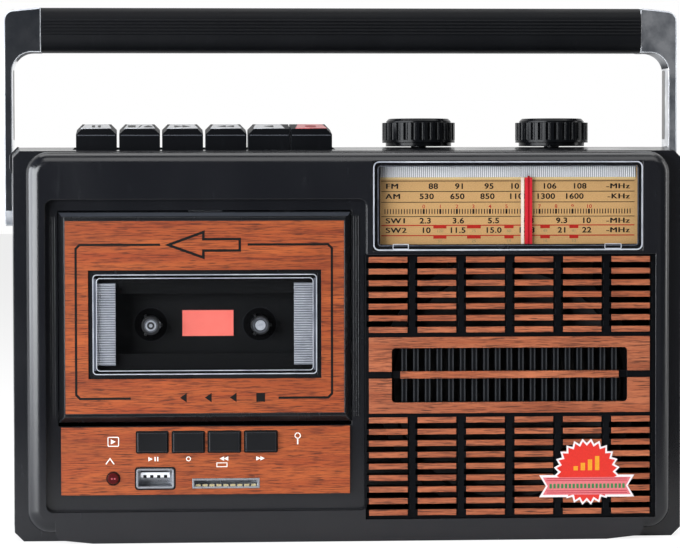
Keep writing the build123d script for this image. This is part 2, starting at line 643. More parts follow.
def rear_cabinet():
    """Rear shell with the battery bay, the aerial's step and the handle's stops."""
    outer = cabinet_block(PARTING_Y, REAR_Y)
    outer = chamfer(front_edges(outer, REAR_Y), REAR_EDGE_CUT)
    shell = outer - cabinet_block(PARTING_Y, REAR_Y - WALL, WALL)
    step_y = REAR_Y - AERIAL_STEP_DEPTH
    step_z = CABINET_TOP - AERIAL_STEP_HEIGHT
    step_span = (CABINET_LEFT, AERIAL_STEP_RIGHT)
    step_lining = block(
        (CABINET_LEFT, AERIAL_STEP_RIGHT + WALL),
        (step_y - WALL, REAR_Y),
        (step_z - WALL, CABINET_TOP),
    )
    additions = [
        outer & step_lining,
        panel(BAY, (BAY_FRONT_Y - BAY_WALL, REAR_Y - WALL), BAY_WALL),
    ]
    pivot_inner = ARM_INNER - PIVOT_LENGTH
    for side in (-1, 1):
        span = sorted((side * pivot_inner, side * (CABINET_HALF_WIDTH - WALL / 2)))
        additions.append(rod_x(span, HANDLE_PIVOT_Y, HANDLE_PIVOT_Z, PIVOT_BOSS_RADIUS))
        ear = [
            (CABINET_HALF_WIDTH - WALL / 2, EAR_BOTTOM),
            (CABINET_HALF_WIDTH, EAR_BOTTOM),
            (EAR_OUT, EAR_BOTTOM + 2 * (EAR_OUT - CABINET_HALF_WIDTH)),
            (EAR_OUT, EAR_TOP - EAR_CUT),
            (EAR_OUT - EAR_CUT, EAR_TOP),
            (CABINET_HALF_WIDTH - TOP_CORNER_CUT, CABINET_TOP),
        ]
        ear_points = [(side * x, z) for x, z in ear]
        ear_back = ARM_FRONT_Y - EDGE_CLEARANCE
        outline = upright_plane(ear_back) * make_face(Polyline(*ear_points, close=True))
        additions.append(extrude(outline, EAR_LENGTH))
        for z in SCREW_HEIGHTS:
            additions.append(outer & rod_y(side * SCREW_X, (PARTING_Y, REAR_Y - 1), z, SCREW_BOSS_RADIUS))
    for x, z in main_boss_places:
        boss_y = (MAIN_BOARD_Y + MAIN_BOARD_THICKNESS, REAR_Y - WALL)
        additions.append(rod_y(x, boss_y, z, BOARD_BOSS_RADIUS))
    for way in (-1, 1):
        clip_x = FERRITE_X + way * FERRITE_LENGTH / 3
        additions.append(
            block(
                (clip_x - FERRITE_CLIP, clip_x + FERRITE_CLIP),
                (
                    FERRITE_Y - FERRITE_RADIUS - FERRITE_CLIP,
                    FERRITE_Y + FERRITE_RADIUS + FERRITE_CLIP,
                ),
                (FERRITE_Z - FERRITE_RADIUS - FERRITE_CLIP, CABINET_TOP - WALL),
            )
        )
    for x in TRANSFORMER[:2]:
        for y in TRANSFORMER_Y:
            inward_x = 3 if x == TRANSFORMER[0] else -3
            inward_y = 3 if y == TRANSFORMER_Y[0] else -3
            pad_x = sorted((x, x + 2 * inward_x))
            pad_y = sorted((y, y + 2 * inward_y))
            additions.append(block(pad_x, pad_y, (WALL, TRANSFORMER[2])))
    shell = joined([shell] + additions)

    shell -= block(step_span, (step_y, REAR_Y), (step_z, CABINET_TOP))
    shell -= panel(BAY, (BAY_FRONT_Y, REAR_Y))
    shell -= panel(BAY, (REAR_Y - BATTERY_COVER_THICKNESS, REAR_Y), BAY_WALL)
    pin_reach = BAY_WALL + BATTERY_COVER_LIP
    pin_span = (BAY[0] - pin_reach, BAY[1] + pin_reach)
    pin_hole = BATTERY_PIN_RADIUS + SHAFT_CLEARANCE
    shell -= rod_x(pin_span, battery_axis_y, battery_axis_z, pin_hole)
    ferrite_half = FERRITE_LENGTH / 2
    ferrite_span = (FERRITE_X - ferrite_half, FERRITE_X + ferrite_half)
    shell -= rod_x(ferrite_span, FERRITE_Y, FERRITE_Z, FERRITE_RADIUS + SHAFT_CLEARANCE)
    for side in (-1, 1):
        span = sorted((side * pivot_inner, side * ARM_OUTER))
        shell -= rod_x(span, HANDLE_PIVOT_Y, HANDLE_PIVOT_Z, PIVOT_RADIUS + SHAFT_CLEARANCE)
        for z in SCREW_HEIGHTS:
            x = side * SCREW_X
            shell -= rod_y(x, (PARTING_Y, REAR_Y), z, SCREW_RADIUS + SEAT_CLEARANCE)
            seat = PARTING_Y + SCREW_SEAT_THICKNESS
            shell -= rod_y(x, (seat, REAR_Y), z, SCREW_HEAD_RADIUS + SEAT_CLEARANCE)
    for x in knob_places.values():
        shell -= rod_z(x, KNOB_Y, (CABINET_TOP - WALL, CABINET_TOP), CONTROL_SHAFT_HOLE)
    shell -= rod_y(AERIAL_PIVOT_X, (step_y - WALL, step_y), aerial_z, PIVOT_RADIUS + SHAFT_CLEARANCE)
    width, height = INLET_SIZE
    inlet = (
        INLET_X - width / 2,
        INLET_X + width / 2,
        INLET_Z - height / 2,
        INLET_Z + height / 2,
    )
    return shell - panel(inlet, (REAR_Y - WALL, REAR_Y), SEAT_CLEARANCE)


def cassette_door():
    """Door frame with the window opening, the cassette guides and the hinge pins."""
    door = panel(DOOR, (door_front_y, door_back_y))
    door = chamfer(front_edges(door, door_front_y), DOOR_BEVEL)
    door -= panel(DOOR_FACING, (door_front_y, door_front_y + DOOR_FACING_THICKNESS))
    door -= panel(WINDOW, (door_front_y, door_back_y))
    middle = (DOOR_FACING[0] + DOOR_FACING[1]) / 2
    half = CASSETTE_WIDTH / 2 + CASSETTE_GAP
    guide_back = door_back_y + CASSETTE_THICKNESS - 1
    cassette_bottom = SPINDLE_Z + SPINDLE_TO_TAPE_EDGE - CASSETTE_HEIGHT
    shelf_top = cassette_bottom - CASSETTE_GAP / 2
    guides = [
        block(
            (middle - half - GUIDE_WALL, middle + half + GUIDE_WALL),
            (door_back_y, guide_back),
            (shelf_top - GUIDE_WALL, shelf_top),
        )
    ]
    for way in (-1, 1):
        span = sorted((middle + way * half, middle + way * (half + GUIDE_WALL)))
        guide_top = cassette_bottom + CASSETTE_HEIGHT * GUIDE_SHARE
        guides.append(block(span, (door_back_y, guide_back), (shelf_top, guide_top)))
        edge = DOOR[0] if way < 0 else DOOR[1]
        pin = sorted((edge - way * DOOR_LUG_LENGTH, edge + way * DOOR_PIN_LENGTH))
        guides.append(rod_x(pin, door_axis_y, door_axis_z, DOOR_PIN_RADIUS))
        lug = sorted((edge - way * DOOR_LUG_LENGTH, edge))
        guides.append(rod_x(lug, door_axis_y, door_axis_z, DOOR_LUG_RADIUS))
    return joined([door] + guides)


def door_facing():
    """Wood-grain sheet let into the door, open round the window."""
    sheet_y = (door_front_y, door_front_y + DOOR_FACING_THICKNESS)
    sheet = panel(DOOR_FACING, sheet_y, -SEAT_CLEARANCE)
    return sheet - panel(WINDOW_SURROUND, sheet_y)


def door_window():
    """Clear window with a strip of fine level ridges behind each end."""
    window_y = (door_front_y, door_front_y + WINDOW_THICKNESS)
    window = panel(WINDOW, window_y, -SEAT_CLEARANCE)
    left, right, bottom, top = WINDOW
    ribs = []
    pitch = (top - bottom - 2 * WINDOW_RIB_MARGIN) / WINDOW_RIB_COUNT
    rib_y = (window_y[1], window_y[1] + WINDOW_RIB_HEIGHT)
    for start in (left + WINDOW_RIB_INSET, right - WINDOW_RIB_INSET - WINDOW_RIB_STRIP):
        for number in range(WINDOW_RIB_COUNT):
            z = bottom + WINDOW_RIB_MARGIN + number * pitch
            ribs.append(block((start, start + WINDOW_RIB_STRIP), rib_y, (z, z + pitch / 2)))
    return joined([window] + ribs)


def deck_plate():
    """Steel plate of the tape deck, with the arms of the key rod and the motor posts."""
    left, right, bottom, top = DECK_PLATE
    plate = panel(DECK_PLATE, (DECK_PLATE_Y, DECK_PLATE_BACK))
    arms = []
    for x in (left, right - DECK_PLATE_THICKNESS):
        arms.append(
            block(
                (x, x + DECK_PLATE_THICKNESS),
                (DECK_PLATE_Y, KEY_ROD_Y + KEY_HUB_RADIUS),
                (top - DECK_ARM_DROP, KEY_ROD_Z + KEY_HUB_RADIUS),
            )
        )
    for x, z in motor_post_places:
        arms.append(rod_y(x, (DECK_PLATE_BACK, motor_front_y), z, MOTOR_POST_RADIUS))
    plate = joined([plate] + arms)
    plate -= rod_x((left, right), KEY_ROD_Y, KEY_ROD_Z, KEY_ROD_RADIUS + SHAFT_CLEARANCE)
    hole_y = (DECK_PLATE_Y, DECK_PLATE_BACK)
    for x in spindle_xs:
        plate -= rod_y(x, hole_y, SPINDLE_Z, SPINDLE_SHAFT_RADIUS + SHAFT_CLEARANCE)
    return plate - rod_y(capstan_x, hole_y, CAPSTAN_Z, CAPSTAN_RADIUS + SHAFT_CLEARANCE)


def spindle(x):
    """Reel spindle with its splines in front of the plate and its disc behind it."""
    hub_y = (
        DECK_PLATE_Y - EDGE_CLEARANCE - SPINDLE_HUB_LENGTH,
        DECK_PLATE_Y - EDGE_CLEARANCE,
    )
    disc_y = (
        DECK_PLATE_BACK + EDGE_CLEARANCE,
        DECK_PLATE_BACK + EDGE_CLEARANCE + REEL_DISC_THICKNESS,
    )
    solids = [
        rod_y(x, hub_y, SPINDLE_Z, SPINDLE_HUB_RADIUS),
        rod_y(x, (hub_y[0], disc_y[1]), SPINDLE_Z, SPINDLE_SHAFT_RADIUS),
        rod_y(x, disc_y, SPINDLE_Z, REEL_DISC_RADIUS),
    ]
    reach = SPINDLE_HUB_RADIUS + SPINDLE_SPLINE
    for number in range(SPINDLE_SPLINES):
        fin = block((0, reach), (hub_y[0] + 1, hub_y[1]), (-SPINDLE_SPLINE / 2, SPINDLE_SPLINE / 2))
        solids.append(Pos(x, 0, SPINDLE_Z) * Rot(0, 360 * number / SPINDLE_SPLINES, 0) * fin)
    return joined(solids)


def capstan_flywheel():
    """Capstan pin and its flywheel."""
    wheel_y = (belt_y - FLYWHEEL_THICKNESS / 2, belt_y + FLYWHEEL_THICKNESS / 2)
    pin_y = (DECK_PLATE_Y - HEAD_DEPTH, wheel_y[1])
    return joined(
        [
            rod_y(capstan_x, wheel_y, CAPSTAN_Z, FLYWHEEL_RADIUS),
            rod_y(capstan_x, pin_y, CAPSTAN_Z, CAPSTAN_RADIUS),
        ]
    )


def motor():
    """Capstan motor with its shaft."""
    x, z = MOTOR_AXIS
    can = rod_y(x, (motor_front_y, motor_front_y + MOTOR_LENGTH), z, MOTOR_RADIUS)
    shaft = rod_y(x, (belt_y - PULLEY_THICKNESS / 2 - 1, motor_front_y), z, MOTOR_SHAFT_RADIUS)
    return joined([can, shaft])


def motor_pulley():
    """Small pulley on the motor's shaft."""
    x, z = MOTOR_AXIS
    pulley_y = (belt_y - PULLEY_THICKNESS / 2, belt_y + PULLEY_THICKNESS / 2)
    bore = rod_y(x, pulley_y, z, MOTOR_SHAFT_RADIUS + SHAFT_CLEARANCE)
    return rod_y(x, pulley_y, z, PULLEY_RADIUS) - bore


def belt_outline(growth):
    """Outline of a belt round the pulley and the flywheel, grown by growth."""
    x1, z1 = MOTOR_AXIS
    x2, z2 = capstan_x, CAPSTAN_Z
    circles = [
        Pos(x1, z1) * Circle(PULLEY_RADIUS + growth),
        Pos(x2, z2) * Circle(FLYWHEEL_RADIUS + growth),
    ]
    return make_hull([edge for circle in circles for edge in circle.edges()])


def drive_belt():
    """Flat belt from the motor's pulley to the flywheel."""
    plane = upright_plane(belt_y + BELT_WIDTH / 2)
    outer = extrude(plane * belt_outline(SHAFT_CLEARANCE + BELT_THICKNESS), BELT_WIDTH)
    return outer - extrude(plane * belt_outline(SHAFT_CLEARANCE), BELT_WIDTH)


cassette_top = SPINDLE_Z + SPINDLE_TO_TAPE_EDGE
head_bottom = cassette_top + HEAD_RETRACTION
head_plate_y = (
    DECK_PLATE_Y - HEAD_PLATE_RUNNING - HEAD_PLATE_THICKNESS,
    DECK_PLATE_Y - HEAD_PLATE_RUNNING,
)
pinch_z = CAPSTAN_Z + CAPSTAN_RADIUS + PINCH_RADIUS + PINCH_GAP + HEAD_TRAVEL
pinch_y = (head_plate_y[0] - PINCH_GAP - PINCH_THICKNESS, head_plate_y[0] - PINCH_GAP)


def tape_head():
    """Sliding head plate with the tape head and the pinch roller's pin."""
    left, right, height = HEAD_PLATE
    plate = block((left, right), head_plate_y, (head_bottom, head_bottom + height))
    head = block(
        (SPINDLE_MIDDLE_X - HEAD_WIDTH / 2, SPINDLE_MIDDLE_X + HEAD_WIDTH / 2),
        (head_plate_y[0] - HEAD_DEPTH, head_plate_y[0]),
        (head_bottom, head_bottom + HEAD_HEIGHT),
    )
    lower = head.edges().filter_by(Axis.Y).group_by(Axis.Z)[0]
    head = fillet(lower, HEAD_WIDTH / 4)
    pin = rod_y(capstan_x, (pinch_y[0], head_plate_y[0]), pinch_z, CAPSTAN_RADIUS)
    return joined([plate, head, pin])


def pinch_roller():
    """Rubber roller that presses the tape on the capstan."""
    bore = rod_y(capstan_x, pinch_y, pinch_z, CAPSTAN_RADIUS + SHAFT_CLEARANCE)
    return rod_y(capstan_x, pinch_y, pinch_z, PINCH_RADIUS) - bore


def key(number):
    """Piano key: a cap that slopes forward, and its lever to the rod."""
    left, right = KEY_EDGES[number]
    front = FRONT_Y + KEY_DEPTH
    back = front + KEY_LENGTH
    profile = [
        (front, KEY_SKIRT),
        (front, KEY_FRONT_TOP),
        (back, KEY_BACK_TOP),
        (back, KEY_SKIRT),
    ]
    side = Plane((left, 0, 0), x_dir=(0, 1, 0), z_dir=(1, 0, 0))
    cap = extrude(side * make_face(Polyline(*profile, close=True)), right - left)
    joins_left = number == len(KEY_EDGES) - 1
    joins_right = number == len(KEY_EDGES) - 2
    cut_xs = [x for x, skipped in ((left, joins_left), (right, joins_right)) if not skipped]
    corners = [
        edge
        for edge in cap.edges()
        if edge.center().Z > KEY_FRONT_TOP
        and any(abs(edge.center().X - x) < 0.01 for x in cut_xs)
    ]
    cap = chamfer(corners, KEY_CORNER_CUT)
    lever = [
        (back - KEY_LEVER_INSET, KEY_SKIRT),
        (back - KEY_LEVER_INSET, KEY_SKIRT + KEY_LEVER_THICKNESS),
        (KEY_ROD_Y, KEY_ROD_Z + KEY_HUB_RADIUS - KEY_LEVER_OVERLAP),
        (KEY_ROD_Y, KEY_ROD_Z),
    ]
    width = right - left - 2 * KEY_LEVER_INSET
    inner = Plane((left + KEY_LEVER_INSET, 0, 0), x_dir=(0, 1, 0), z_dir=(1, 0, 0))
    arm = extrude(inner * make_face(Polyline(*lever, close=True)), width)
    span = (left + KEY_LEVER_INSET, right - KEY_LEVER_INSET)
    hub = rod_x(span, KEY_ROD_Y, KEY_ROD_Z, KEY_HUB_RADIUS)
    bore = rod_x(span, KEY_ROD_Y, KEY_ROD_Z, KEY_ROD_RADIUS + SHAFT_CLEARANCE)
    return joined([cap, arm, hub]) - bore


def media_facing():
    """Wood-grain panel under the door, open for the buttons, the lamp and the sockets."""
    sheet_y = (MEDIA_FACE_Y, RECESS_Y)
    sheet = panel(MEDIA_FACING, sheet_y)
    for left, right in MEDIA_BUTTON_EDGES:
        button = (left, right, MEDIA_BUTTON_BOTTOM, MEDIA_BUTTON_TOP)
        sheet -= panel(button, sheet_y, MEDIA_BUTTON_GAP)
    sheet -= rod_y(STATUS_LED_X, sheet_y, STATUS_LED_Z, STATUS_LED_RADIUS + SEAT_CLEARANCE)
    sheet -= panel(USB_MOUTH, sheet_y, SEAT_CLEARANCE)
    return sheet - panel(SD_SOCKET, sheet_y, SEAT_CLEARANCE)


switch_top_y = MEDIA_BOARD_Y - SWITCH_HEIGHT


def media_button(number):
    """Button cap with the flange that keeps it in and the stem to its switch."""
    left, right = MEDIA_BUTTON_EDGES[number]
    edges = (left, right, MEDIA_BUTTON_BOTTOM, MEDIA_BUTTON_TOP)
    flange_front = FASCIA_BACK + SEAT_CLEARANCE
    flange_back = flange_front + MEDIA_BUTTON_FLANGE_THICKNESS
    cap = panel(edges, (MEDIA_FACE_Y - MEDIA_BUTTON_PROUD, flange_back))
    cap = chamfer(front_edges(cap, MEDIA_FACE_Y - MEDIA_BUTTON_PROUD), MEDIA_BUTTON_GAP)
    flange = panel(edges, (flange_front, flange_back), MEDIA_BUTTON_FLANGE)
    stem_end = switch_top_y - MEDIA_BUTTON_TRAVEL - SWITCH_GAP
    middle_z = (MEDIA_BUTTON_BOTTOM + MEDIA_BUTTON_TOP) / 2
    stem = rod_y((left + right) / 2, (flange_back, stem_end), middle_z, SWITCH_SIZE / 4)
    return joined([cap, flange, stem])


def media_board():
    """Board behind the media panel with a switch for each button."""
    board_y = (MEDIA_BOARD_Y, MEDIA_BOARD_Y + MEDIA_BOARD_THICKNESS)
    board = panel(MEDIA_BOARD, board_y)
    middle_z = (MEDIA_BUTTON_BOTTOM + MEDIA_BUTTON_TOP) / 2
    half = SWITCH_SIZE / 2
    switches = []
    for left, right in MEDIA_BUTTON_EDGES:
        middle = (left + right) / 2
        square = (middle - half, middle + half, middle_z - half, middle_z + half)
        switches.append(panel(square, (switch_top_y, MEDIA_BOARD_Y)))
    return joined([board] + switches)


def status_led():
    """Domed lamp."""
    barrel_y = (MEDIA_FACE_Y, MEDIA_BOARD_Y)
    barrel = rod_y(STATUS_LED_X, barrel_y, STATUS_LED_Z, STATUS_LED_RADIUS)
    dome = Pos(STATUS_LED_X, MEDIA_FACE_Y, STATUS_LED_Z) * Sphere(STATUS_LED_RADIUS)
    front_half = block(
        (STATUS_LED_X - STATUS_LED_CUT, STATUS_LED_X + STATUS_LED_CUT),
        (MEDIA_FACE_Y - STATUS_LED_STAND, MEDIA_FACE_Y),
        (STATUS_LED_Z - STATUS_LED_CUT, STATUS_LED_Z + STATUS_LED_CUT),
    )
    return joined([barrel, dome & front_half])


def usb_shell():
    """Steel shell of the USB socket."""
    shell_y = (MEDIA_FACE_Y - EDGE_CLEARANCE, MEDIA_BOARD_Y)
    shell = panel(USB_MOUTH, shell_y, corner=1.0)
    return shell - panel(USB_MOUTH, (shell_y[0], shell_y[1] - USB_WALL), -USB_WALL)


def usb_tongue():
    """Plastic tongue inside the USB socket."""
    middle = (USB_MOUTH[0] + USB_MOUTH[1]) / 2
    top = USB_MOUTH[3] - USB_WALL - USB_TONGUE_DROP
    tongue_y = (MEDIA_FACE_Y + USB_TONGUE_SET_BACK, MEDIA_BOARD_Y - USB_WALL)
    half = USB_TONGUE_WIDTH / 2
    return block((middle - half, middle + half), tongue_y, (top - USB_TONGUE_THICKNESS, top))


def sd_socket():
    """Shell of the card slot."""
    shell_y = (MEDIA_FACE_Y - SEAT_CLEARANCE, MEDIA_BOARD_Y)
    shell = panel(SD_SOCKET, shell_y)
    return shell - panel(SD_SOCKET, (shell_y[0], shell_y[1] - SD_WALL), -SD_WALL)


def dial_lens():
    """Clear window over the dial."""
    return chamfer(
        front_edges(panel(LENS, (FRONT_Y, FRONT_Y + LENS_THICKNESS)), FRONT_Y),
        LENS_GAP * 4,
    )


def dial_scale():
    """Printed scale behind the pointer."""
    margin = 2 * DIAL_POCKET_MARGIN
    edges = (
        DIAL_FACE[0] - margin,
        DIAL_FACE[1] + margin,
        DIAL_FACE[2] - margin,
        scale_top,
    )
    return panel(edges, (scale_front_y, scale_front_y + DIAL_SCALE_THICKNESS))


def dial_pointer():
    """Clear pointer that hangs in front of the scale from a carriage on the rail."""
    vane_y = (
        scale_front_y - POINTER_RUNNING - POINTER_THICKNESS,
        scale_front_y - POINTER_RUNNING,
    )
    half = POINTER_WIDTH / 2
    arm_z = (scale_top + EDGE_CLEARANCE, scale_top + EDGE_CLEARANCE + POINTER_ARM_THICKNESS)
    vane_bottom = DIAL_FACE[2] - DIAL_POCKET_MARGIN + EDGE_CLEARANCE
    span = (POINTER_X - half, POINTER_X + half)
    vane = block(span, vane_y, (vane_bottom, arm_z[1]))
    arm = block(span, (vane_y[0], RAIL_Y), arm_z)
    carriage_span = (POINTER_X - RAIL_CARRIAGE_HALF, POINTER_X + RAIL_CARRIAGE_HALF)
    carriage_y = (RAIL_Y - RAIL_CARRIAGE / 2, RAIL_Y + RAIL_CARRIAGE / 2)
    carriage = block(carriage_span, carriage_y, (RAIL_Z - RAIL_CARRIAGE / 2, arm_z[1]))
    bore = rod_x(carriage_span, RAIL_Y, RAIL_Z, RAIL_RADIUS + SHAFT_CLEARANCE)
    return joined([vane, arm, carriage]) - bore


def tile_rows():
    """Bottom and top of each row of strips, from the top down."""
    upper = [UPPER_TOP - row * UPPER_PITCH for row in range(UPPER_ROWS)]
    lower = [LOWER_TOP - row * LOWER_PITCH for row in range(LOWER_ROWS)]
    return (
        [(top - TILE_HEIGHT, top) for top in upper],
        [(top - TILE_HEIGHT, top) for top in lower],
    )


tile_columns = [
    (TILE_FIRST_X + column * TILE_PITCH_X, TILE_FIRST_X + column * TILE_PITCH_X + TILE_WIDTH)
    for column in range(TILE_COLUMNS)
]
grille_front_y = FRONT_Y + GRILLE_SET_BACK
grille_back_y = FASCIA_BACK + GRILLE_FLANGE_THICKNESS
tile_front_y = grille_front_y - TILE_THICKNESS


def speaker_grille():
    """Grille moulding with slots between the strips and ribs across its mouth."""
    grille = panel(GRILLE, (grille_front_y, FASCIA_BACK), -SEAT_CLEARANCE)
    flange = panel(GRILLE, (FASCIA_BACK, grille_back_y), GRILLE_FLANGE)
    through = (grille_front_y, grille_back_y)
    slots = []
    for rows in tile_rows():
        for above, below in zip(rows, rows[1:]):
            for left, right in tile_columns:
                edges = (left - SLOT_MARGIN, right + SLOT_MARGIN, below[1], above[0])
                slots.append(panel(edges, through))
    mouth = panel(GRILLE_MOUTH, through)
    grille = joined([grille, flange]) - slots - mouth
    left, right, bottom, top = GRILLE_MOUTH
    middle = (left + right) / 2
    rib_y = (grille_front_y + GRILLE_RIB_SET_BACK, FASCIA_BACK)
    ribs = [block((left, right), rib_y, (GRILLE_BAR_BOTTOM, GRILLE_BAR_TOP))]
    for number in range(GRILLE_RIB_COUNT):
        x = middle + (number - (GRILLE_RIB_COUNT - 1) / 2) * GRILLE_RIB_PITCH
        span = (x - GRILLE_RIB_WIDTH / 2, x + GRILLE_RIB_WIDTH / 2)
        ribs.append(block(span, rib_y, (bottom, top)))
    return joined([grille] + ribs)


def grille_strips():
    """Wood-grain strips, the frame round the mouth and the bar across it."""
    depth = (tile_front_y, grille_front_y)
    solids = []
    for rows in tile_rows():
        for bottom, top in rows:
            for left, right in tile_columns:
                solids.append(panel((left, right, bottom, top), depth))
    outer = (
        tile_columns[0][0],
        tile_columns[-1][1],
        GRILLE_FRAME_BOTTOM,
        GRILLE_FRAME_TOP,
    )
    frame = panel(outer, depth) - panel(GRILLE_MOUTH, depth, corner=GRILLE_MOUTH_CORNER)
    frame -= block(outer[:2], depth, (GRILLE_BAR_BOTTOM, GRILLE_BAR_TOP))
    solids.extend(frame.solids())
    bar_span = (GRILLE_MOUTH[0] + GRILLE_BAR_INSET, GRILLE_MOUTH[1] - GRILLE_BAR_INSET)
    bar_y = (tile_front_y, grille_front_y + GRILLE_RIB_SET_BACK)
    solids.append(block(bar_span, bar_y, (GRILLE_BAR_BOTTOM, GRILLE_BAR_TOP)))
    return Compound(solids)


def starburst_sticker():
    """Thin star-shaped sticker with a ribbon across it."""
    points = []
    for number in range(2 * STICKER_POINTS):
        radius = STICKER_RADIUS if number % 2 == 0 else STICKER_ROOT_RADIUS
        angle = pi * number / STICKER_POINTS
        points.append((STICKER_X + radius * cos(angle), STICKER_Z + radius * sin(angle)))
    star_plane = upright_plane(tile_front_y)
    star = extrude(star_plane * make_face(Polyline(*points, close=True)), STICKER_THICKNESS)
    width, height = STICKER_RIBBON
    ribbon = (
        STICKER_X - width / 2,
        STICKER_X + width / 2,
        STICKER_Z - STICKER_RIBBON_DROP - height / 2,
        STICKER_Z - STICKER_RIBBON_DROP + height / 2,
    )
    return joined([star, panel(ribbon, (tile_front_y - STICKER_THICKNESS, tile_front_y))])


basket_back_y = grille_back_y + SPEAKER_BASKET_DEPTH


def speaker_basket():
    """Steel basket of the loudspeaker with windows round its cone."""
    wall = SPEAKER_BASKET_WALL
    rim = SPEAKER_RADIUS - SPEAKER_EDGE
    profile = [
        (SPEAKER_RADIUS, grille_back_y),
        (SPEAKER_RADIUS, grille_back_y + SPEAKER_FLANGE),
        (rim, grille_back_y + SPEAKER_FLANGE),
        (SPEAKER_THROAT_RADIUS + wall, basket_back_y),
        (CONE_NECK_RADIUS + EDGE_CLEARANCE, basket_back_y),
        (CONE_NECK_RADIUS + EDGE_CLEARANCE, basket_back_y - wall),
        (SPEAKER_THROAT_RADIUS, basket_back_y - wall),
        (rim - wall, grille_back_y),
    ]
    basket = turned(profile, SPEAKER_X, SPEAKER_Z)
    middle_radius = (rim + SPEAKER_THROAT_RADIUS) / 2
    for number in range(SPEAKER_WINDOWS):
        angle = 2 * pi * number / SPEAKER_WINDOWS
        x = SPEAKER_X + middle_radius * cos(angle)
        z = SPEAKER_Z + middle_radius * sin(angle)
        depth = (grille_back_y + SPEAKER_FLANGE, basket_back_y)
        basket -= rod_y(x, depth, z, SPEAKER_WINDOW_RADIUS)
    return basket


def speaker_cone():
    """Paper cone with its coil former and dust cap."""
    rim = SPEAKER_RADIUS - SPEAKER_EDGE - 2 * SPEAKER_BASKET_WALL - SEAT_CLEARANCE
    front = grille_back_y + 2 * SEAT_CLEARANCE
    neck_y = front + CONE_DEPTH_SHARE * SPEAKER_BASKET_DEPTH
    inner = CONE_NECK_RADIUS - CONE_WALL
    profile = [
        (rim, front),
        (rim, front + CONE_WALL),
        (CONE_NECK_RADIUS, neck_y + CONE_WALL),
        (CONE_NECK_RADIUS, basket_back_y - VOICE_COIL_GAP),
        (inner, basket_back_y - VOICE_COIL_GAP),
        (inner, neck_y - CONE_WALL),
        (0, neck_y - CONE_NECK_RADIUS / 2),
        (0, neck_y - CONE_NECK_RADIUS / 2 - CONE_WALL),
        (inner, neck_y - 2 * CONE_WALL),
    ]
    return turned(profile, SPEAKER_X, SPEAKER_Z)


def speaker_magnet():
    """Ring magnet and plates on the back of the basket."""
    back = basket_back_y + MAGNET_THICKNESS
    magnet = rod_y(SPEAKER_X, (basket_back_y, back), SPEAKER_Z, MAGNET_RADIUS)
    return chamfer(magnet.edges().filter_by(GeomType.CIRCLE), MAGNET_CHAMFER)


def knob(x):
    """Fluted knob with a stepped foot, a ledge round its top and a blind bore."""
    bottom = CABINET_TOP + EDGE_CLEARANCE
    foot = rod_z(x, KNOB_Y, (bottom, bottom + KNOB_UNDERCUT), KNOB_RADIUS - KNOB_UNDERCUT)
    skirt = rod_z(x, KNOB_Y, (bottom + KNOB_UNDERCUT, KNOB_TOP - KNOB_LEDGE), KNOB_RADIUS)
    top = rod_z(x, KNOB_Y, (KNOB_TOP - KNOB_LEDGE, KNOB_TOP), KNOB_RADIUS - KNOB_LEDGE)
    top = chamfer(top.edges().filter_by(GeomType.CIRCLE).group_by(Axis.Z)[-1], KNOB_CHAMFER)
    flutes = []
    for number in range(KNOB_FLUTES):
        angle = 2 * pi * number / KNOB_FLUTES
        flute_x = x + KNOB_RADIUS * cos(angle)
        flute_y = KNOB_Y + KNOB_RADIUS * sin(angle)
        height = (bottom + KNOB_UNDERCUT + 1, KNOB_TOP - KNOB_LEDGE)
        flutes.append(rod_z(flute_x, flute_y, height, KNOB_FLUTE_RADIUS))
    bore = rod_z(x, KNOB_Y, (bottom, KNOB_TOP - KNOB_WALL), CONTROL_SHAFT_RADIUS + SHAFT_CLEARANCE)
    return joined([foot, skirt - flutes, top]) - bore


def control(x, size):
    """Volume or tuning control: its body under the top and its shaft in the knob."""
    width, depth, height = size
    body = block(
        (x - width / 2, x + width / 2),
        (PARTING_Y + EDGE_CLEARANCE, PARTING_Y + EDGE_CLEARANCE + depth),
        (CABINET_TOP - WALL - height, CABINET_TOP - WALL),
    )
    shaft_z = (CABINET_TOP - WALL, KNOB_TOP - KNOB_WALL - EDGE_CLEARANCE)
    return joined([body, rod_z(x, KNOB_Y, shaft_z, CONTROL_SHAFT_RADIUS)])


arm_y = (ARM_FRONT_Y, ARM_FRONT_Y + ARM_DEPTH)


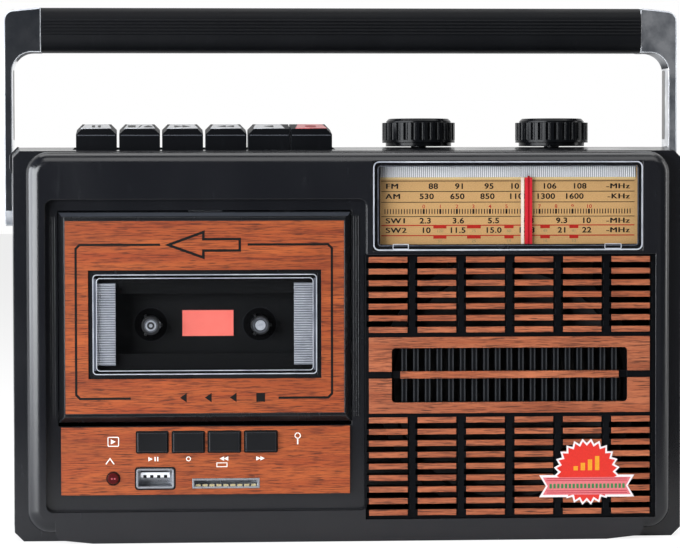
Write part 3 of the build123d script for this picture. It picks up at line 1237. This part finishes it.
def handle_arm(side):
    """Chrome arm with its round foot, its corner and the spigot for the grip."""
    foot = HANDLE_PIVOT_Z - ARM_DEPTH / 2
    outline = [
        (ARM_OUTER, foot),
        (ARM_OUTER, HANDLE_SHOULDER),
        (GRIP_HALF_WIDTH, GRIP_TOP),
        (GRIP_HALF_WIDTH, GRIP_BOTTOM),
        (ARM_INNER, GRIP_BOTTOM),
        (ARM_INNER, foot),
    ]
    points = [(side * x, z) for x, z in outline]
    face = upright_plane(arm_y[1]) * make_face(Polyline(*points, close=True))
    arm = extrude(face, ARM_DEPTH)
    upright = arm.edges().filter_by(Axis.Y)
    arm = fillet(
        [edge for edge in upright if abs(edge.center().Z - HANDLE_SHOULDER) < 0.01],
        HANDLE_CORNER,
    )
    inner = [
        edge
        for edge in arm.edges().filter_by(Axis.Y)
        if abs(edge.center().Z - GRIP_BOTTOM) < 0.01
        and abs(abs(edge.center().X) - ARM_INNER) < 0.01
    ]
    arm = fillet(inner, HANDLE_INNER_CORNER)
    arm = fillet(arm.edges().filter_by(Axis.X).group_by(Axis.Z)[0], ARM_DEPTH / 2 - 0.01)
    length, depth, height = GRIP_SPIGOT
    middle_z = (GRIP_TOP + GRIP_BOTTOM) / 2
    spigot = block(
        sorted((side * (GRIP_HALF_WIDTH - length), side * GRIP_HALF_WIDTH)),
        (HANDLE_PIVOT_Y - depth / 2, HANDLE_PIVOT_Y + depth / 2),
        (middle_z - height / 2, middle_z + height / 2),
    )
    arm = joined([arm, spigot])
    span = sorted((side * ARM_INNER, side * ARM_OUTER))
    arm -= rod_x(span, HANDLE_PIVOT_Y, HANDLE_PIVOT_Z, PIVOT_RADIUS + SHAFT_CLEARANCE)
    recess_x = ARM_OUTER - PIVOT_HEAD_THICKNESS - EDGE_CLEARANCE / 2
    recess = sorted((side * recess_x, side * ARM_OUTER))
    return arm - rod_x(recess, HANDLE_PIVOT_Y, HANDLE_PIVOT_Z, PIVOT_HEAD_RADIUS + SHAFT_CLEARANCE)


def handle_grip():
    """Black grip between the arms with fine ridges along its front."""
    span = (-GRIP_HALF_WIDTH, GRIP_HALF_WIDTH)
    front = arm_y[0] - GRIP_OVERHANG
    back = arm_y[1] + GRIP_OVERHANG
    grip = block(span, (front, back), (GRIP_BOTTOM, GRIP_TOP))
    grip = fillet(grip.edges().filter_by(Axis.X), GRIP_ROUNDING)
    ridges = []
    for number in range(GRIP_RIDGES):
        z = GRIP_RIDGE_TOP - number * GRIP_RIDGE_PITCH
        ridges.append(rod_x(span, front + GRIP_RIDGE_RADIUS / 2, z, GRIP_RIDGE_RADIUS))
    grip = joined([grip] + ridges)
    length, depth, height = GRIP_SPIGOT
    middle_z = (GRIP_TOP + GRIP_BOTTOM) / 2
    for side in (-1, 1):
        grip -= block(
            sorted((side * (GRIP_HALF_WIDTH - length - EDGE_CLEARANCE), side * GRIP_HALF_WIDTH)),
            (
                HANDLE_PIVOT_Y - depth / 2 - SEAT_CLEARANCE,
                HANDLE_PIVOT_Y + depth / 2 + SEAT_CLEARANCE,
            ),
            (middle_z - height / 2 - SEAT_CLEARANCE, middle_z + height / 2 + SEAT_CLEARANCE),
        )
    return grip


def handle_pivots():
    """Two screws that the handle turns on."""
    solids = []
    for side in (-1, 1):
        head_x = ARM_OUTER - PIVOT_HEAD_THICKNESS - SEAT_CLEARANCE
        shank = sorted((side * (ARM_INNER - PIVOT_LENGTH), side * head_x))
        head = sorted((side * head_x, side * (ARM_OUTER - SEAT_CLEARANCE)))
        solids.append(
            joined(
                [
                    rod_x(shank, HANDLE_PIVOT_Y, HANDLE_PIVOT_Z, PIVOT_RADIUS),
                    rod_x(head, HANDLE_PIVOT_Y, HANDLE_PIVOT_Z, PIVOT_HEAD_RADIUS),
                ]
            )
        )
    return Compound(solids)


aerial_left_x = AERIAL_PIVOT_X - AERIAL_BASE_RADIUS - AERIAL_LENGTH


def aerial_tube(number):
    """One of the tubes of the aerial, closed up, with the larger ones round it."""
    radius = AERIAL_TUBE_RADII[number]
    root_x = AERIAL_PIVOT_X - AERIAL_BASE_RADIUS - number * AERIAL_TUBE_WALL
    end_x = aerial_left_x - number * AERIAL_OVERHANG
    tube = rod_x((end_x, root_x), aerial_y, aerial_z, radius)
    if number < len(AERIAL_TUBE_RADII) - 1:
        bore_radius = AERIAL_TUBE_RADII[number + 1] + SHAFT_CLEARANCE
        bore = rod_x((end_x, root_x - AERIAL_TUBE_WALL), aerial_y, aerial_z, bore_radius)
        return tube - bore
    tip = rod_x((end_x - AERIAL_TIP_LENGTH, end_x), aerial_y, aerial_z, AERIAL_TIP_RADIUS)
    tip = fillet(tip.edges().filter_by(GeomType.CIRCLE), AERIAL_TIP_RADIUS / 3)
    return joined([tube, tip])


def aerial_base():
    """Swivel on the back with the outer tube of the aerial in it."""
    step_y = REAR_Y - AERIAL_STEP_DEPTH
    pin = rod_y(AERIAL_PIVOT_X, (step_y - WALL, step_y + SEAT_CLEARANCE), aerial_z, PIVOT_RADIUS)
    hub_y = (step_y + SEAT_CLEARANCE, REAR_Y - SEAT_CLEARANCE)
    hub = rod_y(AERIAL_PIVOT_X, hub_y, aerial_z, AERIAL_BASE_RADIUS)
    hub = chamfer(hub.edges().filter_by(GeomType.CIRCLE).group_by(Axis.Y)[-1], AERIAL_BASE_CHAMFER)
    neck_x = (AERIAL_PIVOT_X - AERIAL_NECK, AERIAL_PIVOT_X)
    neck = rod_x(neck_x, aerial_y, aerial_z, AERIAL_TUBE_RADII[0] + AERIAL_TUBE_WALL)
    bore = rod_x(
        (neck_x[0], AERIAL_PIVOT_X - AERIAL_BASE_RADIUS),
        aerial_y,
        aerial_z,
        AERIAL_TUBE_RADII[0],
    )
    return joined([joined([pin, hub, neck]) - bore, aerial_tube(0)])


def battery_cover():
    """Cover of the battery bay with its hinge pins and a finger notch."""
    left, right, bottom, top = BAY
    gap = EDGE_CLEARANCE
    edges = (
        left - BAY_WALL + gap,
        right + BAY_WALL - gap,
        bottom - BAY_WALL + gap,
        top + BAY_WALL - gap,
    )
    thickness = BATTERY_COVER_THICKNESS - 2 * SEAT_CLEARANCE
    depth = (REAR_Y - BATTERY_COVER_THICKNESS + SEAT_CLEARANCE, REAR_Y - SEAT_CLEARANCE)
    cover = panel(edges, depth)
    cover = fillet(cover.edges().filter_by(Axis.X).group_by(Axis.Z)[0], thickness / 2 - 0.01)
    middle = (left + right) / 2
    notch_span = (middle - BATTERY_NOTCH_HALF, middle + BATTERY_NOTCH_HALF)
    notch_z = edges[3] - BATTERY_NOTCH_HALF / 2
    notch = rod_x(notch_span, REAR_Y, notch_z, BATTERY_COVER_THICKNESS / 2)
    pins = []
    for side, edge in ((-1, edges[0]), (1, edges[1])):
        span = sorted((edge - side * BATTERY_COVER_LIP, edge + side * BATTERY_COVER_LIP))
        pins.append(rod_x(span, battery_axis_y, battery_axis_z, BATTERY_PIN_RADIUS))
    return joined([cover] + pins) - notch


def battery_contacts():
    """Sprung plates at both ends of the two rows of cells."""
    solids = []
    quarter = (BAY[3] - BAY[2]) / 4
    middle_z = (BAY[2] + BAY[3]) / 2
    middle_y = (BAY_FRONT_Y + REAR_Y - BATTERY_COVER_THICKNESS) / 2
    half = CONTACT_WIDTH / 2
    for side, wall_x in ((-1, BAY[0]), (1, BAY[1])):
        face_x = wall_x - side * CONTACT_THICKNESS
        for z in (middle_z - quarter, middle_z + quarter):
            plate = block(
                sorted((wall_x, face_x)),
                (middle_y - half, middle_y + half),
                (z - half, z + half),
            )
            nub = rod_x(sorted((face_x, face_x - side * CONTACT_NUB)), middle_y, z, half / 2)
            solids.append(joined([plate, nub]))
    return Compound(solids)


def main_board():
    """Main circuit board with a row of coils and the band switch."""
    board_y = (MAIN_BOARD_Y, MAIN_BOARD_Y + MAIN_BOARD_THICKNESS)
    solids = [panel(MAIN_BOARD, board_y)]
    can_side, can_height = COIL_CAN
    bottom = MAIN_BOARD[2] + can_side
    for number in range(COIL_CANS):
        x = MAIN_BOARD[0] + COIL_CAN_INSET + COIL_CAN_PITCH * number
        can = (x, x + can_side, bottom, bottom + can_side)
        solids.append(panel(can, (MAIN_BOARD_Y - can_height, MAIN_BOARD_Y)))
    switch_length, switch_side = BAND_SWITCH
    right = MAIN_BOARD[1] - BAND_SWITCH_INSET
    switch = (right - switch_length, right, bottom, bottom + switch_side)
    solids.append(panel(switch, (MAIN_BOARD_Y - switch_side, MAIN_BOARD_Y)))
    return joined(solids)


def ferrite_rod():
    """Ferrite rod of the medium-wave aerial with its coil."""
    half = FERRITE_LENGTH / 2
    rod = rod_x((FERRITE_X - half, FERRITE_X + half), FERRITE_Y, FERRITE_Z, FERRITE_RADIUS)
    coil_x = (FERRITE_X - FERRITE_COIL_HALF, FERRITE_X + FERRITE_COIL_HALF)
    coil = rod_x(coil_x, FERRITE_Y, FERRITE_Z, FERRITE_RADIUS + FERRITE_COIL_WALL)
    return joined([rod, coil])


def transformer():
    """Mains transformer: its iron core and its bobbin."""
    left, right, bottom, top = TRANSFORMER
    core = block((left, right), TRANSFORMER_Y, (bottom, top))
    width, height = TRANSFORMER_BOBBIN
    middle_x = (left + right) / 2
    middle_z = (bottom + top) / 2
    bobbin = block(
        (middle_x - width / 2, middle_x + width / 2),
        (TRANSFORMER_Y[0] - 4, TRANSFORMER_Y[1] + 4),
        (middle_z - height / 2, middle_z + height / 2),
    )
    bobbin = fillet(bobbin.edges().filter_by(Axis.Z), 3)
    return joined([core, bobbin])


def mains_inlet():
    """Two-pin mains inlet let into the back."""
    width, height = INLET_SIZE
    body = block(
        (INLET_X - width / 2, INLET_X + width / 2),
        (REAR_Y - INLET_DEPTH - 2, REAR_Y),
        (INLET_Z - height / 2, INLET_Z + height / 2),
    )
    mouth_width, mouth_height = INLET_MOUTH
    mouth = block(
        (INLET_X - mouth_width / 2, INLET_X + mouth_width / 2),
        (REAR_Y - INLET_DEPTH, REAR_Y),
        (INLET_Z - mouth_height / 2, INLET_Z + mouth_height / 2),
    )
    mouth = fillet(mouth.edges().filter_by(Axis.Y), mouth_height / 3)
    pins = []
    for side in (-1, 1):
        x = INLET_X + side * INLET_PIN_SPACING / 2
        depth = (REAR_Y - INLET_DEPTH, REAR_Y - 3)
        pins.append(rod_y(x, depth, INLET_Z, INLET_PIN_RADIUS))
    return joined([body - mouth] + pins)


def cabinet_screws():
    """Six screws that hold the two shells together."""
    solids = []
    seat = PARTING_Y + SCREW_SEAT_THICKNESS
    for side in (-1, 1):
        for z in SCREW_HEIGHTS:
            x = side * SCREW_X
            head = rod_y(x, (seat, seat + SCREW_HEAD_THICKNESS), z, SCREW_HEAD_RADIUS)
            shank = rod_y(x, (PARTING_Y - SCREW_BITE, seat), z, SCREW_RADIUS)
            solids.append(joined([head, shank]))
    return Compound(solids)


nodes = {
    "front_cabinet": front_cabinet(),
    "rear_cabinet": rear_cabinet(),
    "cabinet_screws": cabinet_screws(),
    "cassette_door": cassette_door(),
    "door_facing": door_facing(),
    "door_window": door_window(),
    "deck_plate": deck_plate(),
    "well_label": panel(WELL_LABEL, (DECK_PLATE_Y - WELL_LABEL_THICKNESS, DECK_PLATE_Y)),
    "supply_spindle": spindle(spindle_xs[0]),
    "take_up_spindle": spindle(spindle_xs[1]),
    "capstan_flywheel": capstan_flywheel(),
    "motor": motor(),
    "motor_pulley": motor_pulley(),
    "drive_belt": drive_belt(),
    "tape_head": tape_head(),
    "pinch_roller": pinch_roller(),
    "key_rod": rod_x((DECK_PLATE[0], DECK_PLATE[1]), KEY_ROD_Y, KEY_ROD_Z, KEY_ROD_RADIUS),
    "media_facing": media_facing(),
    "media_board": media_board(),
    "status_led": status_led(),
    "usb_shell": usb_shell(),
    "usb_tongue": usb_tongue(),
    "sd_socket": sd_socket(),
    "dial_lens": dial_lens(),
    "dial_scale": dial_scale(),
    "dial_pointer": dial_pointer(),
    "pointer_rail": rod_x(rail_ends, RAIL_Y, RAIL_Z, RAIL_RADIUS),
    "speaker_grille": speaker_grille(),
    "grille_strips": grille_strips(),
    "starburst_sticker": starburst_sticker(),
    "speaker_basket": speaker_basket(),
    "speaker_cone": speaker_cone(),
    "speaker_magnet": speaker_magnet(),
    "volume_knob": knob(VOLUME_X),
    "volume_control": control(VOLUME_X, CONTROL_BODY),
    "tuning_knob": knob(TUNING_X),
    "tuning_capacitor": control(TUNING_X, CAPACITOR_BODY),
    "handle_arm_left": handle_arm(-1),
    "handle_arm_right": handle_arm(1),
    "handle_grip": handle_grip(),
    "handle_pivots": handle_pivots(),
    "aerial_base": aerial_base(),
    "aerial_middle_tube": aerial_tube(1),
    "aerial_tip_tube": aerial_tube(2),
    "battery_cover": battery_cover(),
    "battery_contacts": battery_contacts(),
    "main_board": main_board(),
    "ferrite_rod": ferrite_rod(),
    "transformer": transformer(),
    "mains_inlet": mains_inlet(),
}
for number, name in enumerate(KEY_NAMES):
    nodes[name] = key(number)
for number in range(len(MEDIA_BUTTON_EDGES)):
    nodes[f"media_button_{number + 1}"] = media_button(number)

for name, shape in nodes.items():
    export_step(shape, f"parts/{name}.step")
